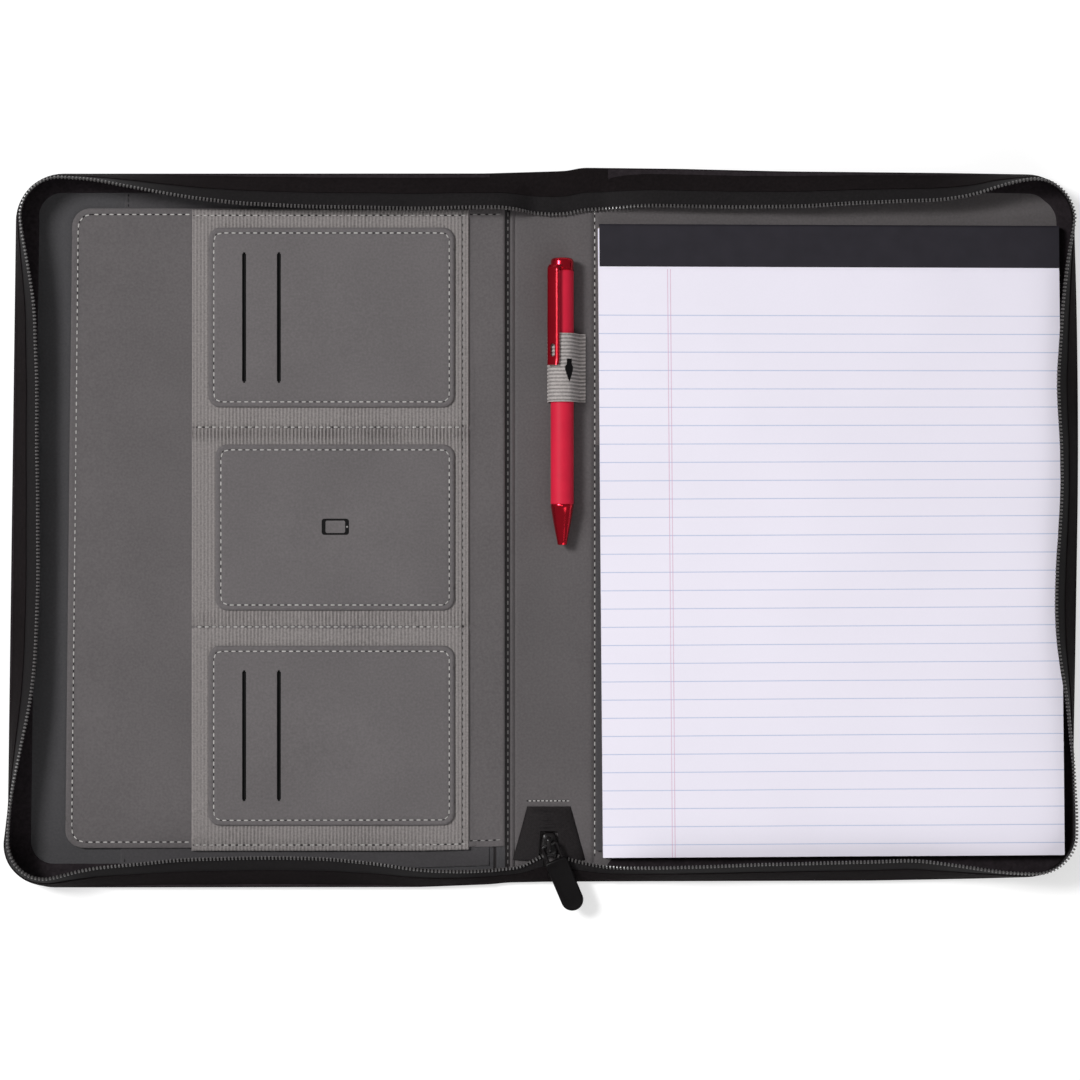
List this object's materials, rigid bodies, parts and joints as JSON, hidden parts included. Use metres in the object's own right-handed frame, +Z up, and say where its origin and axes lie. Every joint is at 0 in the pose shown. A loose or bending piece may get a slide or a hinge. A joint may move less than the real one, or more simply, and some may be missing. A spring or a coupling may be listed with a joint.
{
  "type": "zippered padfolio",
  "caption": "Soft zip-round document case lying open, with a writing pad in the right cover, a pen in an elastic loop on the spine and an organiser with pockets in the left cover.",
  "frame": {"origin": "middle of the spine's underside, on the surface the open case lies on", "axes": "+X from the spine towards the writing pad's fore edge, +Y towards the pad's taped head, +Z up from the table"},
  "size_m": [0.5006, 0.3463, 0.0246],
  "materials": {
    "black_cloth": "woven nylon, matt",
    "black_tape": "zip tape and gusset, matt",
    "black_teeth": "satin",
    "grey_lining": "fine woven lining",
    "grey_patch": "fine woven, padded",
    "grey_elastic": "ribbed elastic",
    "board": "grey board",
    "foam": "thin foam sheet",
    "white_paper": "ruled writing paper",
    "grey_card": "grey chipboard",
    "black_binding": "smooth binding tape",
    "steel_wire": "bright wire",
    "black_metal": "black gloss",
    "black_rubber": "moulded, satin",
    "red_barrel": "matt red",
    "red_metal": "polished red anodised",
    "dark_plastic": "plain",
    "refill_brass": "plain tube"
  },
  "bodies": {
    "right_cover": {"right_cover_skin": "black_cloth", "right_cover_board": "board", "right_cover_foam": "foam", "right_cover_lining": "grey_lining", "right_zip_wall": "black_tape", "right_zip_teeth": "black_teeth", "pad_slot_pocket": "grey_lining", "pad_card": "grey_card", "pad_sheets": "white_paper", "pad_binding": "black_binding", "pad_staples": "steel_wire"},
    "pad_leaf": {"pad_top_sheet": "white_paper"},
    "spine": {"spine_skin": "black_cloth", "spine_board": "board", "spine_foam": "foam", "spine_lining": "grey_lining", "spine_head_wall": "black_tape", "spine_zip_teeth": "black_teeth", "spine_foot_wall": "black_tape", "zip_tail": "black_tape", "tail_zip_teeth": "black_teeth", "pen_loop": "grey_elastic"},
    "slider": {"slider_body": "black_metal", "slider_crown": "black_metal"},
    "pull": {"pull_link": "black_metal", "pull_grip": "black_rubber"},
    "pen_upper": {"pen_upper_barrel": "red_barrel", "pen_cap": "red_metal", "pen_clip": "red_metal", "pen_twist_sleeve": "dark_plastic"},
    "pen_lower": {"pen_lower_barrel": "red_barrel", "pen_nose": "red_metal"},
    "pen_refill": {"pen_refill_tube": "refill_brass", "pen_refill_tip": "steel_wire"},
    "left_cover": {"left_cover_skin": "black_cloth", "left_cover_board": "board", "left_cover_foam": "foam", "left_cover_lining": "grey_lining", "left_zip_wall": "black_tape", "left_zip_teeth": "black_teeth", "rear_sleeve": "grey_lining", "document_pocket": "grey_lining", "ribbed_elastic_panel": "grey_elastic", "upper_card_patch": "grey_patch", "phone_patch": "grey_patch", "lower_card_patch": "grey_patch"}
  },
  "joints": [
    {"name": "spine_fold", "type": "hinge", "parent": "right_cover", "child": "spine", "pos_m": [0.021, 0, 0.0044], "axis": [0, 1, 0], "range_deg": [0, 90]},
    {"name": "left_cover_fold", "type": "hinge", "parent": "spine", "child": "left_cover", "pos_m": [-0.021, 0, 0.0044], "axis": [0, 1, 0], "range_deg": [0, 90]},
    {"name": "sheet_turn", "type": "hinge", "parent": "right_cover", "child": "pad_leaf", "pos_m": [0.13095, 0.1223, 0.0107], "axis": [1, 0, 0], "range_deg": [-150, 0]},
    {"name": "slider_run", "type": "slide", "parent": "spine", "child": "slider", "axis": [0, 1, 0], "range_m": [0, 0.005]},
    {"name": "pull_flip", "type": "hinge", "parent": "slider", "child": "pull", "pos_m": [0, -0.1475, 0.01095], "axis": [0.9397, 0.342, 0], "range_deg": [-150, 0]},
    {"name": "pen_slide", "type": "slide", "parent": "spine", "child": "pen_upper", "axis": [0, 1, 0], "range_m": [-0.029, 0.018]},
    {"name": "pen_twist", "type": "hinge", "parent": "pen_upper", "child": "pen_lower", "pos_m": [0.0062, 0.05, 0.0101], "axis": [0, 1, 0], "range_deg": [0, 180]},
    {"name": "refill_slide", "type": "slide", "parent": "pen_lower", "child": "pen_refill", "axis": [0, -1, 0], "range_m": [0, 0.0045]}
  ],
  "couplings": [
    {"joint": "refill_slide", "follows": "pen_twist", "m_per_rad": 0.00143}
  ]
}
